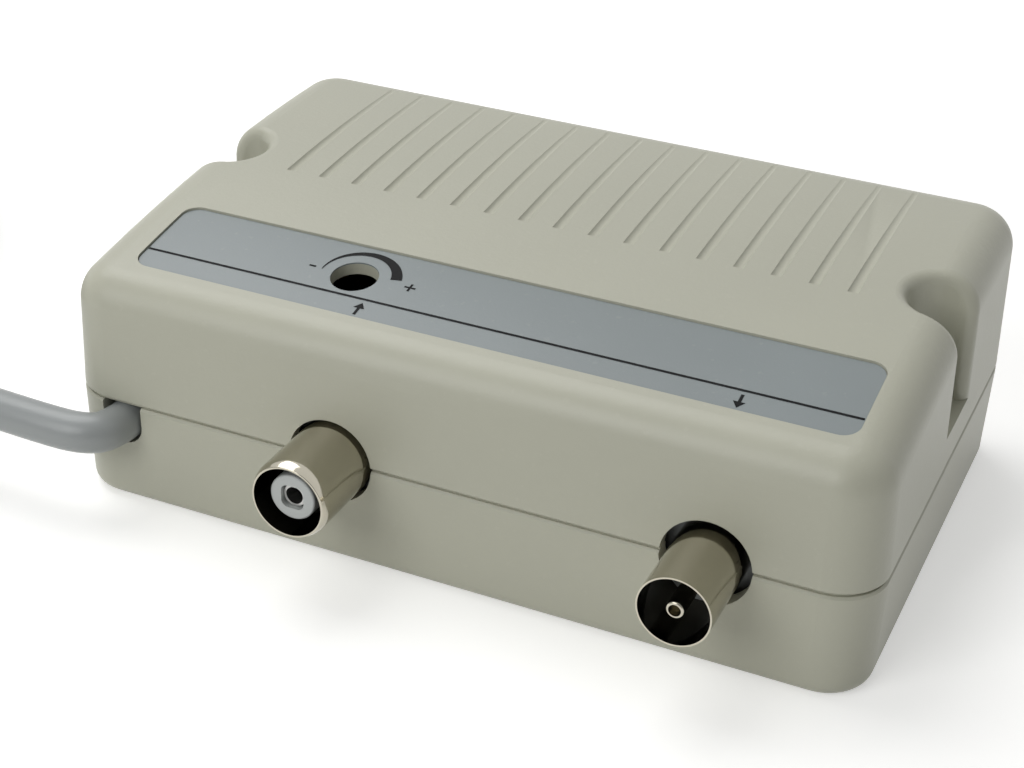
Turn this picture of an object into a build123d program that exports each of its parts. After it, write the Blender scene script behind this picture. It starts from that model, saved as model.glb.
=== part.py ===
from build123d import *
import os
from math import asin, cos, pi, radians, sin, sqrt, tan

os.makedirs("parts", exist_ok=True)

# Mains-powered aerial amplifier in a two-half moulded case.
# Millimetres, +Z up, the front with the two coaxial connectors faces -Y.
# The origin is the centre of the underside of the case.

# Case
case_width = 114.0
case_depth = 72.0
corner_radius = 6.8
parting_height = 15.4
draft_angle = 1.5
wall = 2.0
base_wall = 2.0
base_fillet = 2.0
roof_radius = 313.0
roof_top_y = 28.0
roof_top_z = 39.3
roof_fillet = 5.4
parting_gap = 0.35
parting_gap_depth = 0.6
parting_bevel = 0.3
lip_thickness = 0.9
lip_height = 1.6
lip_clearance = 0.1

# Shallow grooves on the rear of the roof
groove_count = 17
groove_pitch = 5.17
groove_centre_x = 0.5
groove_front_y = -1.2
groove_radius = 0.88
groove_back_depth = 0.1
groove_slope_shift = 3.0

# Label on the front of the roof
label_width = 100.0
label_depth = 15.0
label_corner = 2.4
label_centre_x = 0.9
label_centre_y = -22.35
label_pocket = 0.5
label_thickness = 0.2
label_gap = 0.1

# Side recesses with the wall screw holes
recess_radius = 5.0
recess_x = 53.1
recess_y = 3.4
recess_floor_z = 20.8
recess_floor_thickness = 2.0
recess_wall = 2.0
recess_rim = 1.6
wall_screw_x = 51.5
wall_screw_hole = 1.75
wall_boss_radius = 3.2

# Openings in the front
connector_z = 15.4
input_x = -15.8
output_x = 35.9
connector_hole = 6.0
cord_x = -48.0
cord_z = 12.4
cord_diameter = 5.6
cord_hole_radius = 3.0

# Gain control
gain_x = -19.6
gain_y = -21.65
gain_hole = 3.25

# Case screws
case_posts = [(-37.0, -27.5), (49.3, -27.5), (-49.0, 28.0), (49.0, 28.0)]
case_post_radius = 3.5
case_screw_radius = 1.4
case_screw_pilot = 1.45
case_screw_head_radius = 2.7
case_screw_head_height = 2.0
counterbore_radius = 3.0
counterbore_depth = 5.0
case_screw_tip = 24.0

# Circuit board
board_bottom = 7.0
board_thickness = 1.6
board_top = board_bottom + board_thickness
board_left = -45.0
board_right = 45.0
board_front = -32.2
board_back = 31.0
board_step_x = -31.0
board_step_y = -18.0
board_posts = [(-41.5, -14.0), (-41.5, 27.5), (41.5, 27.5), (41.5, -1.5)]
board_post_radius = 3.0
board_screw_radius = 1.2

# Screening box round the signal stage
can_left = -30.4
can_right = 44.0
can_front = -31.6
can_back = -6.0
can_top = 24.6
can_wall = 0.5

# Coaxial connectors
plug_outer = 4.7625
plug_bore = 4.55
plug_reach = 11.0
socket_outer = 5.45
socket_lip = 5.06
socket_bore = 4.82
socket_reach = 11.0
socket_lip_length = 1.0
socket_neck_radius = 2.5
socket_lip_radius = 0.12


def write(part, name):
    """Label a finished piece and write it to its own file."""
    part.label = name
    export_step(part, f"parts/{name}.step")


# Tool solid under the crowned roof, lowered by a given depth
def under_roof(lowered):
    with BuildPart() as crown:
        with BuildSketch(Plane.YZ):
            with Locations((roof_top_y, roof_top_z - roof_radius)):
                Circle(roof_radius - lowered)
        extrude(amount=case_width, both=True)
    return crown.part


# Upright round well at each side, which breaks through the side wall
def side_wells(radius, bottom, height):
    with BuildPart() as wells:
        with BuildSketch(Plane.XY.offset(bottom)):
            with Locations((-recess_x, recess_y), (recess_x, recess_y)):
                Circle(radius)
        extrude(amount=height)
    return wells.part


roof_low = under_roof(wall)
label_floor = under_roof(label_pocket)
label_face = under_roof(label_pocket - label_thickness)

# Hollow of the top cover, less the two towers round the side recesses
with BuildPart() as cover_hollow:
    with BuildSketch(Plane.XY.offset(parting_height)):
        RectangleRounded(case_width - 2 * wall, case_depth - 2 * wall, corner_radius - wall)
    extrude(amount=26, taper=draft_angle)
    add(roof_low, mode=Mode.INTERSECT)
    fillet(cover_hollow.faces().sort_by(Axis.Z)[-1].edges(), roof_fillet - wall)
    add(side_wells(recess_radius + recess_wall, parting_height, 26), mode=Mode.SUBTRACT)
    with BuildSketch(Plane.XY.offset(parting_height)):
        with Locations(*case_posts):
            Circle(case_post_radius)
    extrude(amount=26, mode=Mode.SUBTRACT)

# Top cover: crowned roof, grooves, label pocket, gain hole and side recesses
with BuildPart() as top_cover:
    with BuildSketch(Plane.XY.offset(parting_height)):
        RectangleRounded(case_width, case_depth, corner_radius)
    extrude(amount=26, taper=draft_angle)
    add(under_roof(0), mode=Mode.INTERSECT)
    fillet(top_cover.faces().sort_by(Axis.Z)[-1].edges(), roof_fillet)
    with BuildSketch(Plane.XY.offset(parting_height)):
        RectangleRounded(case_width + 2, case_depth + 2, corner_radius + 1)
        RectangleRounded(
            case_width - 2 * parting_gap_depth,
            case_depth - 2 * parting_gap_depth,
            corner_radius - parting_gap_depth,
            mode=Mode.SUBTRACT,
        )
    extrude(amount=parting_gap, mode=Mode.SUBTRACT)
    gap_roof = top_cover.faces().filter_by_position(
        Axis.Z, parting_height + parting_gap - 0.01, parting_height + parting_gap + 0.01
    )[0]
    chamfer(gap_roof.outer_wire().edges(), parting_bevel)
    add(side_wells(recess_radius, recess_floor_z, 26), mode=Mode.SUBTRACT)
    rim = [
        edge for edge in top_cover.edges()
        if edge.center().Z > 34 and abs(edge.center().X) > recess_x - recess_radius - 0.2
        and abs(edge.center().Y - recess_y) < recess_radius + 0.3
        and edge.bounding_box().size.Z < 1.2 and edge.length > 2
    ]
    fillet(rim, recess_rim)
    add(cover_hollow.part, mode=Mode.SUBTRACT)
    with BuildSketch(Plane.XY.offset(parting_height)):
        RectangleRounded(
            case_width - 2 * (wall - lip_thickness - lip_clearance),
            case_depth - 2 * (wall - lip_thickness - lip_clearance),
            corner_radius - 1,
        )
        RectangleRounded(
            case_width - 2 * wall, case_depth - 2 * wall, corner_radius - wall, mode=Mode.SUBTRACT
        )
    extrude(amount=lip_height + 0.2, mode=Mode.SUBTRACT)
    with BuildSketch(Plane.XY.offset(parting_height)):
        with Locations(*case_posts):
            Circle(case_screw_pilot)
    extrude(amount=case_screw_tip + 1 - parting_height, mode=Mode.SUBTRACT)
    with BuildSketch(Plane.XY.offset(parting_height)):
        with Locations((-recess_x, recess_y), (recess_x, recess_y)):
            Circle(recess_radius + 0.5)
        with Locations((0, recess_y)):
            Rectangle(case_width - 2 * wall, 2 * recess_radius + 1, mode=Mode.INTERSECT)
    extrude(
        amount=recess_floor_z - recess_floor_thickness - parting_height, mode=Mode.SUBTRACT
    )
    with BuildSketch(Plane.XY.offset(parting_height)):
        with Locations((-wall_screw_x, recess_y), (wall_screw_x, recess_y)):
            Circle(wall_screw_hole)
    extrude(amount=10, mode=Mode.SUBTRACT)
    with BuildSketch(Plane.XZ.offset(case_depth / 2 - 4)):
        with Locations((input_x, connector_z), (output_x, connector_z)):
            Circle(connector_hole)
    extrude(amount=8, mode=Mode.SUBTRACT)
    with BuildSketch(Plane.XY.offset(20)):
        with Locations((gain_x, gain_y)):
            Circle(gain_hole)
    extrude(amount=30, mode=Mode.SUBTRACT)

with BuildPart() as label_cut:
    with BuildSketch(Plane.XY.offset(25)):
        with Locations((label_centre_x, label_centre_y)):
            RectangleRounded(label_width, label_depth, label_corner)
    extrude(amount=20)
    add(label_floor, mode=Mode.SUBTRACT)

# Round-bottomed grooves that follow the roof and run out towards the back
groove_arc_y = roof_top_y + groove_slope_shift
groove_arc_z = roof_top_z - roof_radius
groove_arc = roof_radius + groove_radius - groove_back_depth
groove_turn = asin((groove_arc_y - groove_front_y) / groove_arc)
with BuildPart() as groove_cut:
    with BuildSketch(Plane.XZ.offset(-groove_arc_y)):
        with Locations((groove_centre_x, groove_arc_z + groove_arc)):
            with GridLocations(groove_pitch, 1, groove_count, 1):
                Circle(groove_radius)
    revolve(
        axis=Axis((0, groove_arc_y, groove_arc_z), (1, 0, 0)),
        revolution_arc=groove_turn * 180 / pi,
    )

with top_cover:
    add(label_cut.part, mode=Mode.SUBTRACT)
    add(groove_cut.part, mode=Mode.SUBTRACT)
write(top_cover.part, "top_cover")

# Bottom cover: tray with lip, screw posts, wall screw bosses and the cord notch
with BuildPart() as bottom_cover:
    with BuildSketch(Plane.XY.offset(parting_height)):
        RectangleRounded(case_width, case_depth, corner_radius)
    extrude(amount=-parting_height, taper=draft_angle)
    fillet(bottom_cover.faces().sort_by(Axis.Z)[0].edges(), base_fillet)
    chamfer(bottom_cover.faces().sort_by(Axis.Z)[-1].outer_wire().edges(), parting_bevel)
    with BuildSketch(Plane.XY.offset(base_wall)):
        RectangleRounded(case_width - 2 * wall - 1, case_depth - 2 * wall - 1, corner_radius - wall)
    extrude(amount=20, mode=Mode.SUBTRACT)
    with BuildSketch(Plane.XY.offset(parting_height - 3)):
        RectangleRounded(
            case_width - 2 * (wall - lip_thickness),
            case_depth - 2 * (wall - lip_thickness),
            corner_radius - 1.1,
        )
        RectangleRounded(
            case_width - 2 * wall - 1, case_depth - 2 * wall - 1, corner_radius - wall,
            mode=Mode.SUBTRACT,
        )
    extrude(amount=3)
    with BuildSketch(Plane.XY.offset(parting_height)):
        RectangleRounded(
            case_width - 2 * (wall - lip_thickness),
            case_depth - 2 * (wall - lip_thickness),
            corner_radius - 1.1,
        )
        RectangleRounded(
            case_width - 2 * wall, case_depth - 2 * wall, corner_radius - wall, mode=Mode.SUBTRACT
        )
    extrude(amount=lip_height)
    with BuildSketch(Plane.XY.offset(base_wall)):
        with Locations(*case_posts):
            Circle(case_post_radius)
    extrude(amount=parting_height - base_wall - 0.1)
    with BuildSketch(Plane.XY.offset(base_wall)):
        with Locations(*board_posts):
            Circle(board_post_radius)
    extrude(amount=board_bottom - base_wall)
    with BuildSketch(Plane.XY.offset(base_wall)):
        with Locations((-wall_screw_x, recess_y), (wall_screw_x, recess_y)):
            Circle(wall_boss_radius)
    extrude(amount=recess_floor_z - recess_floor_thickness - 0.1 - base_wall)
    with BuildSketch(Plane.XY):
        with Locations((-wall_screw_x, recess_y), (wall_screw_x, recess_y)):
            Circle(wall_screw_hole)
    extrude(amount=25, mode=Mode.SUBTRACT)
    with BuildSketch(Plane.XY):
        with Locations(*case_posts):
            Circle(case_screw_pilot + 0.15)
    extrude(amount=25, mode=Mode.SUBTRACT)
    with BuildSketch(Plane.XY):
        with Locations(*case_posts):
            Circle(counterbore_radius)
    extrude(amount=counterbore_depth, mode=Mode.SUBTRACT)
    with BuildSketch(Plane.XY.offset(board_bottom - 4)):
        with Locations(*board_posts):
            Circle(board_screw_radius + 0.03)
    extrude(amount=5, mode=Mode.SUBTRACT)
    with BuildSketch(Plane.XZ.offset(case_depth / 2 - 4)):
        with Locations((input_x, connector_z), (output_x, connector_z)):
            Circle(connector_hole)
    extrude(amount=8, mode=Mode.SUBTRACT)
    with BuildSketch(Plane.XZ.offset(case_depth / 2 - 4)):
        with Locations((cord_x, cord_z)):
            Circle(cord_hole_radius)
        with Locations((cord_x, cord_z + 4)):
            Rectangle(2 * cord_hole_radius, 8)
    extrude(amount=8, mode=Mode.SUBTRACT)
    # Saddle and two pillars that the cord clamp screws down on
    with BuildSketch(Plane.XY.offset(base_wall)):
        with Locations((cord_x, -27.5)):
            Rectangle(12.6, 6)
    extrude(amount=cord_z - base_wall - 0.3)
    with BuildSketch(Plane.XZ.offset(20)):
        with Locations((cord_x, cord_z)):
            Circle(cord_diameter / 2)
    extrude(amount=12, mode=Mode.SUBTRACT)
    with BuildSketch(Plane.XY.offset(5)):
        with Locations((cord_x - 4.6, -27.5), (cord_x + 4.6, -27.5)):
            Circle(0.95)
    extrude(amount=12, mode=Mode.SUBTRACT)
write(bottom_cover.part, "bottom_cover")

# Printed label in the roof pocket
with BuildPart() as rating_label:
    with BuildSketch(Plane.XY.offset(25)):
        with Locations((label_centre_x, label_centre_y)):
            RectangleRounded(
                label_width - 2 * label_gap, label_depth - 2 * label_gap, label_corner - label_gap
            )
        with Locations((gain_x, gain_y)):
            Circle(gain_hole, mode=Mode.SUBTRACT)
    extrude(amount=20)
    add(label_face, mode=Mode.INTERSECT)
    add(label_floor, mode=Mode.SUBTRACT)
write(rating_label.part, "rating_label")

# Four pan-head screws driven up from the underside
with BuildPart() as case_screws:
    with BuildSketch(Plane.XY.offset(counterbore_depth - case_screw_head_height)):
        with Locations(*case_posts):
            Circle(case_screw_head_radius)
    extrude(amount=case_screw_head_height)
    with BuildSketch(Plane.XY.offset(counterbore_depth)):
        with Locations(*case_posts):
            Circle(case_screw_radius)
    extrude(amount=case_screw_tip - counterbore_depth)
    with BuildSketch(Plane.XY.offset(counterbore_depth - case_screw_head_height)):
        with Locations(*case_posts):
            Rectangle(3.0, 0.7)
            Rectangle(0.7, 3.0)
    extrude(amount=1.1, mode=Mode.SUBTRACT)
write(case_screws.part, "case_screws")

# Screws that hold the circuit board on its posts
with BuildPart() as board_screws:
    with BuildSketch(Plane.XY.offset(board_top)):
        with Locations(*board_posts):
            Circle(2.4)
    extrude(amount=1.6)
    with BuildSketch(Plane.XY.offset(board_bottom - 3.5)):
        with Locations(*board_posts):
            Circle(board_screw_radius)
    extrude(amount=board_thickness + 3.5)
    with BuildSketch(Plane.XY.offset(board_top + 0.7)):
        with Locations(*board_posts):
            Rectangle(2.8, 0.6)
            Rectangle(0.6, 2.8)
    extrude(amount=1, mode=Mode.SUBTRACT)
write(board_screws.part, "board_screws")

# Bar that clamps the cord into its saddle, with its two screws
with BuildPart() as cord_clamp:
    with BuildSketch(Plane.XY.offset(cord_z + 0.3)):
        with Locations((cord_x, -27.5)):
            RectangleRounded(12.4, 5.4, 1)
    extrude(amount=4.2)
    with BuildSketch(Plane.XZ.offset(20)):
        with Locations((cord_x, cord_z)):
            Circle(cord_diameter / 2)
    extrude(amount=12, mode=Mode.SUBTRACT)
    with BuildSketch(Plane.XY.offset(5)):
        with Locations((cord_x - 4.6, -27.5), (cord_x + 4.6, -27.5)):
            Circle(1.1)
    extrude(amount=20, mode=Mode.SUBTRACT)
write(cord_clamp.part, "cord_clamp")

with BuildPart() as clamp_screws:
    with BuildSketch(Plane.XY.offset(cord_z + 4.5)):
        with Locations((cord_x - 4.6, -27.5), (cord_x + 4.6, -27.5)):
            Circle(1.9)
    extrude(amount=1.4)
    with BuildSketch(Plane.XY.offset(6)):
        with Locations((cord_x - 4.6, -27.5), (cord_x + 4.6, -27.5)):
            Circle(0.9)
    extrude(amount=cord_z + 4.5 - 6)
    with BuildSketch(Plane.XY.offset(cord_z + 5.2)):
        with Locations((cord_x - 4.6, -27.5), (cord_x + 4.6, -27.5)):
            Rectangle(2.4, 0.5)
    extrude(amount=1, mode=Mode.SUBTRACT)
write(clamp_screws.part, "clamp_screws")

# Components on the board, as footprints that the board is drilled for
transformer_x = -27.0
transformer_y = 12.0
terminal_xs = [transformer_x - 7.5, transformer_x - 3.75, transformer_x, transformer_x + 3.75,
               transformer_x + 7.5]
terminal_rows = (transformer_y - 9.5, transformer_y + 9.5)
fuse_at = (-40.5, -5.0)
mains_pads = [(-36.0, -9.0), (-36.0, -14.0)]
diode_x = -4.0
diode_ys = [3.0, 8.2, 13.4, 18.6]
reservoir_at = (12.5, 15.0)
output_capacitor_at = (29.5, 21.0)
regulator_at = (27.0, 6.0)
transistors_at = [(-7.0, -19.0), (22.0, -19.0)]
ceramics_at = [(-10.0, -27.0), (-3.0, -27.0), (8.0, -27.0), (15.0, -27.0), (27.0, -27.0),
               (16.0, -11.5)]
resistors_at = [(-23.0, -10.0), (-13.0, -11.5), (26.0, -10.0), (37.0, -11.0)]
toroids_at = [(-4.0, -11.5), (9.0, -12.0)]
air_coils_at = [(9.0, -20.0), (34.0, -20.0)]
lead_radius = 0.35
lead_end = 6.0


def across(centre, half, vertical=False):
    """Two points either side of a centre, along X or along Y."""
    if vertical:
        return [(centre[0], centre[1] - half), (centre[0], centre[1] + half)]
    return [(centre[0] - half, centre[1]), (centre[0] + half, centre[1])]


terminal_pins = [(x, y) for x in terminal_xs for y in terminal_rows]
trimmer_pins = [(gain_x - 2.5, gain_y + 5.2), (gain_x + 2.5, gain_y + 5.2), (gain_x, gain_y - 5.2)]
diode_pins = [(diode_x + side * 5.0, y) for y in diode_ys for side in (-1, 1)]
resistor_pins = [point for centre in resistors_at for point in across(centre, 3.8)]
straight_pins = (
    across(fuse_at, 2.54, True)
    + across(reservoir_at, 2.5)
    + across(output_capacitor_at, 1.75)
    + [(regulator_at[0] + step, regulator_at[1]) for step in (-2.54, 0, 2.54)]
    + [point for centre in ceramics_at for point in across(centre, 1.25, True)]
)
socket_pin = (input_x, -29.2)
plug_pin = (output_x, -28.6)
coil_pins = [point for centre in air_coils_at for point in across(centre, 2.5)]
toroid_pins = [point for centre in toroids_at for point in across(centre, 1.5, True)]

# Circuit board, stepped round the cord entry and drilled for every lead
with BuildPart() as circuit_board:
    with BuildSketch(Plane.XY.offset(board_bottom)):
        with BuildLine():
            Polyline(
                (board_left, board_step_y),
                (board_step_x, board_step_y),
                (board_step_x, board_front),
                (board_right, board_front),
                (board_right, board_back),
                (board_left, board_back),
                close=True,
            )
        make_face()
        with Locations(*board_posts):
            Circle(board_screw_radius + 0.15, mode=Mode.SUBTRACT)
        with Locations((case_posts[1])):
            Circle(case_post_radius + 0.4, mode=Mode.SUBTRACT)
        with Locations(*(terminal_pins + trimmer_pins + diode_pins + resistor_pins)):
            Circle(lead_radius + 0.1, mode=Mode.SUBTRACT)
        with Locations(*(straight_pins + mains_pads + coil_pins + toroid_pins)):
            Circle(lead_radius + 0.1, mode=Mode.SUBTRACT)
        with Locations(socket_pin, plug_pin):
            Circle(lead_radius + 0.1, mode=Mode.SUBTRACT)
    extrude(amount=board_thickness)
write(circuit_board.part, "circuit_board")

# Mains transformer: laminated core, split bobbin, two windings and its terminals
core_bottom = board_top + 0.6
core_height = 25.0
window_bottom = core_bottom + 5
window_height = 15.0
bobbin_half_depth = 11.5
flange = 0.8
split_z = window_bottom + 8.0
with BuildPart() as transformer_core:
    with BuildSketch(Plane.XZ.offset(-transformer_y)):
        with Locations((transformer_x, core_bottom + core_height / 2)):
            Rectangle(30, core_height)
            with GridLocations(15, 1, 2, 1):
                Rectangle(5, window_height, mode=Mode.SUBTRACT)
    extrude(amount=6.5, both=True)
    chamfer(transformer_core.edges().filter_by(Axis.Y).group_by(Axis.Z)[-1], 0.4)
write(transformer_core.part, "transformer_core")

with BuildPart() as transformer_bobbin:
    with BuildSketch(Plane.XY.offset(window_bottom + 0.1)):
        with Locations((transformer_x, transformer_y)):
            Rectangle(11.8, 14.8)
    extrude(amount=window_height - 0.2)
    with BuildSketch(
        Plane.XY.offset(window_bottom + 0.1),
        Plane.XY.offset(split_z),
        Plane.XY.offset(window_bottom + window_height - 0.1 - flange),
    ):
        with Locations((transformer_x, transformer_y)):
            RectangleRounded(19.6, 2 * bobbin_half_depth, 1)
    extrude(amount=flange)
    with BuildSketch(Plane.XY.offset(board_top)):
        for y in terminal_rows:
            with Locations((transformer_x, y)):
                Rectangle(19.6, 4)
    extrude(amount=window_bottom + 0.1 - board_top)
    with BuildSketch(Plane.XY.offset(window_bottom)):
        with Locations((transformer_x, transformer_y)):
            Rectangle(10, 13)
    extrude(amount=window_height, mode=Mode.SUBTRACT)
    with BuildSketch(Plane.XY.offset(board_top - 1)):
        with Locations(*terminal_pins):
            Circle(0.4)
    extrude(amount=4, mode=Mode.SUBTRACT)
write(transformer_bobbin.part, "transformer_bobbin")


def winding(bottom, top, half_depth):
    """Rounded block of wound wire round the bobbin tube between two heights."""
    with BuildPart() as wound:
        with BuildSketch(Plane.XY.offset(bottom)):
            with Locations((transformer_x, transformer_y)):
                RectangleRounded(18.4, 2 * half_depth, 3)
                Rectangle(11.8, 14.8, mode=Mode.SUBTRACT)
        extrude(amount=top - bottom)
    return wound.part


write(winding(window_bottom + 0.1 + flange, split_z, bobbin_half_depth - 0.9), "primary_winding")
write(
    winding(split_z + flange, window_bottom + window_height - 0.1 - flange,
            bobbin_half_depth - 1.4),
    "secondary_winding",
)

with BuildPart() as winding_terminals:
    with BuildSketch(Plane.XY.offset(lead_end)):
        with Locations(*terminal_pins):
            Circle(lead_radius)
    extrude(amount=board_top - lead_end)
    with BuildSketch(Plane.XY.offset(board_top)):
        with Locations(*terminal_pins):
            Circle(0.4)
    extrude(amount=3)
write(winding_terminals.part, "winding_terminals")

# Upright round fuse
with BuildPart() as mains_fuse:
    with BuildSketch(Plane.XY.offset(board_top)):
        with Locations(fuse_at):
            Circle(4.1)
    extrude(amount=7.8)
    fillet(mains_fuse.faces().sort_by(Axis.Z)[-1].edges(), 0.6)
write(mains_fuse.part, "mains_fuse")

# Rectifier: four axial diodes lying side by side
with BuildPart() as rectifier_diodes:
    with BuildSketch(Plane.YZ.offset(diode_x)):
        with Locations(*[(y, board_top + 1.7) for y in diode_ys]):
            Circle(1.35)
    extrude(amount=2.6, both=True)
    fillet(rectifier_diodes.edges().filter_by(GeomType.CIRCLE), 0.3)
write(rectifier_diodes.part, "rectifier_diodes")


def can_capacitor(at, radius, height):
    """Upright capacitor can with a rolled groove near the foot and a rounded top."""
    with BuildPart() as can:
        with BuildSketch(Plane.XZ.offset(-at[1])):
            with BuildLine():
                Polyline(
                    (at[0], board_top),
                    (at[0] + radius - 0.4, board_top),
                    (at[0] + radius, board_top + 0.5),
                    (at[0] + radius, board_top + 2.0),
                    (at[0] + radius - 0.45, board_top + 2.5),
                    (at[0] + radius, board_top + 3.0),
                    (at[0] + radius, board_top + height - 0.6),
                    (at[0] + radius - 0.6, board_top + height),
                    (at[0], board_top + height),
                    close=True,
                )
            make_face()
        revolve(axis=Axis((at[0], at[1], 0), (0, 0, 1)))
        with BuildSketch(Plane.XY.offset(board_top + height - 0.25)):
            with Locations(at):
                Rectangle(radius * 1.3, 0.3)
                Rectangle(0.3, radius * 1.3)
        extrude(amount=1, mode=Mode.SUBTRACT)
    return can.part


write(can_capacitor(reservoir_at, 6.25, 20.0), "reservoir_capacitor")
write(can_capacitor(output_capacitor_at, 4.0, 11.5), "output_capacitor")

# Upright voltage regulator: moulded body and metal tab
regulator_bottom = board_top + 4.2
with BuildPart() as regulator_tab:
    with BuildSketch(Plane.XZ.offset(-regulator_at[1] - 0.7)):
        with Locations((regulator_at[0], regulator_bottom + 7.7)):
            Rectangle(10, 15.4)
        with Locations((regulator_at[0], regulator_bottom + 12.6)):
            Circle(1.85, mode=Mode.SUBTRACT)
    extrude(amount=-1.3)
write(regulator_tab.part, "regulator_tab")

with BuildPart() as voltage_regulator:
    with BuildSketch(Plane.XZ.offset(-regulator_at[1] - 0.7)):
        with Locations((regulator_at[0], regulator_bottom + 4.6)):
            Rectangle(10, 9.2)
    extrude(amount=3.1)
    chamfer(voltage_regulator.faces().sort_by(Axis.Y)[0].edges(), 0.5)
write(voltage_regulator.part, "voltage_regulator")

# Signal stage: transistors, ceramic capacitors, resistors, ferrite rings and coils
with BuildPart() as signal_transistors:
    with BuildSketch(Plane.XY.offset(board_top + 0.9)):
        with Locations(*transistors_at):
            Circle(2.4)
    extrude(amount=1.9)
    fillet(signal_transistors.edges().filter_by(GeomType.CIRCLE), 0.3)
write(signal_transistors.part, "signal_transistors")

with BuildPart() as ceramic_capacitors:
    for x, y in ceramics_at:
        with BuildSketch(Plane.YZ.offset(x)):
            with Locations((y, board_top + 3.0)):
                Circle(2.4)
        extrude(amount=0.9, both=True)
    fillet(ceramic_capacitors.edges().filter_by(GeomType.CIRCLE), 0.7)
write(ceramic_capacitors.part, "ceramic_capacitors")

with BuildPart() as resistors:
    for x, y in resistors_at:
        with BuildSketch(Plane.YZ.offset(x)):
            with Locations((y, board_top + 1.3)):
                Circle(0.95)
        extrude(amount=2.0, both=True)
    fillet(resistors.edges().filter_by(GeomType.CIRCLE), 0.4)
write(resistors.part, "resistors")

ring_height = 2.6
with BuildPart() as ferrite_rings:
    with BuildSketch(Plane.XY.offset(board_top + 0.7)):
        with Locations(*toroids_at):
            Circle(3.0)
            Circle(1.4, mode=Mode.SUBTRACT)
    extrude(amount=ring_height)
write(ferrite_rings.part, "ferrite_rings")

# Six turns of wire round each ring, and its two ends down to the board
with BuildPart() as ring_windings:
    for x, y in toroids_at:
        for turn in range(6):
            angle = radians(30 + 60 * turn)
            section = Plane(
                origin=(x + 2.2 * cos(angle), y + 2.2 * sin(angle), board_top + 2.0),
                x_dir=(cos(angle), sin(angle), 0),
                z_dir=(sin(angle), -cos(angle), 0),
            )
            with BuildSketch(section):
                RectangleRounded(2.5, ring_height + 0.9, 0.5)
                RectangleRounded(1.7, ring_height + 0.1, 0.1, mode=Mode.SUBTRACT)
            extrude(amount=0.2, both=True)
    with BuildSketch(Plane.XY.offset(lead_end)):
        with Locations(*toroid_pins):
            Circle(0.22)
    extrude(amount=board_top + 0.5 - lead_end)
write(ring_windings.part, "ring_windings")

coil_turn_radius = 2.0
coil_wire = 0.3
with BuildPart() as air_coils:
    for x, y in air_coils_at:
        with BuildLine() as helix:
            Helix(
                pitch=1.0, height=5.0, radius=coil_turn_radius,
                center=(x - 2.5, y, board_top + 2.8), direction=(1, 0, 0),
            )
        turned = helix.line.rotate(Axis((x, y, board_top + 2.8), (1, 0, 0)), 180)
        with BuildSketch(Plane(origin=turned @ 0, z_dir=turned % 0)):
            Circle(coil_wire)
        sweep(path=turned, is_frenet=True)
    with BuildSketch(Plane.XY.offset(lead_end)):
        with Locations(*coil_pins):
            Circle(coil_wire)
    extrude(amount=board_top + 2.8 - coil_turn_radius - lead_end)
write(air_coils.part, "air_coils")

# Wire leads of all these components
with BuildPart() as component_leads:
    for y in diode_ys:
        for side in (-1, 1):
            with BuildLine() as bent:
                FilletPolyline(
                    (diode_x + side * 2.6, y, board_top + 1.7),
                    (diode_x + side * 5.0, y, board_top + 1.7),
                    (diode_x + side * 5.0, y, lead_end),
                    radius=0.8,
                )
            with BuildSketch(Plane(origin=bent.line @ 0, z_dir=bent.line % 0)):
                Circle(lead_radius)
            sweep(path=bent.line)
    for x, y in resistors_at:
        for side in (-1, 1):
            with BuildLine() as bent:
                FilletPolyline(
                    (x + side * 2.0, y, board_top + 1.3),
                    (x + side * 3.8, y, board_top + 1.3),
                    (x + side * 3.8, y, lead_end),
                    radius=0.6,
                )
            with BuildSketch(Plane(origin=bent.line @ 0, z_dir=bent.line % 0)):
                Circle(0.25)
            sweep(path=bent.line)
    with BuildSketch(Plane.XY.offset(lead_end)):
        with Locations(*(across(fuse_at, 2.54, True) + across(reservoir_at, 2.5))):
            Circle(lead_radius)
        with Locations(*across(output_capacitor_at, 1.75)):
            Circle(0.3)
    extrude(amount=board_top - lead_end)
    with BuildSketch(Plane.XY.offset(lead_end)):
        with Locations(*[(regulator_at[0] + step, regulator_at[1]) for step in (-2.54, 0, 2.54)]):
            Rectangle(0.5, 0.5)
    extrude(amount=regulator_bottom - lead_end)
    with BuildSketch(Plane.XY.offset(lead_end)):
        with Locations(*[point for centre in ceramics_at for point in across(centre, 1.25, True)]):
            Circle(0.3)
    extrude(amount=board_top + 1.5 - lead_end)
    with BuildSketch(Plane.XY.offset(board_top + 1.4)):
        with Locations(*transistors_at):
            with PolarLocations(3.6, 4):
                Rectangle(2.4, 0.9)
    extrude(amount=0.25)
    with BuildSketch(Plane.XY.offset(board_top)):
        with Locations(*transistors_at):
            with PolarLocations(4.7, 4):
                Rectangle(0.25, 0.9)
    extrude(amount=1.65)
    add(ceramic_capacitors.part, mode=Mode.SUBTRACT)
    add(signal_transistors.part, mode=Mode.SUBTRACT)
    add(rectifier_diodes.part, mode=Mode.SUBTRACT)
    add(resistors.part, mode=Mode.SUBTRACT)
write(component_leads.part, "component_leads")

# Screening box: frame, dividing wall and push-on lid
can_width = can_right - can_left
can_depth = can_back - can_front
can_centre = ((can_left + can_right) / 2, (can_front + can_back) / 2)
with BuildPart() as shield_frame:
    with BuildSketch(Plane.XY.offset(board_top)):
        with Locations(can_centre):
            Rectangle(can_width, can_depth)
            Rectangle(can_width - 2 * can_wall, can_depth - 2 * can_wall, mode=Mode.SUBTRACT)
    extrude(amount=can_top - can_wall - board_top)
    with BuildSketch(Plane.XZ.offset(-can_front - 2)):
        with Locations((input_x, connector_z), (output_x, connector_z)):
            Circle(2.6)
    extrude(amount=4, mode=Mode.SUBTRACT)
write(shield_frame.part, "shield_frame")

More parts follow.
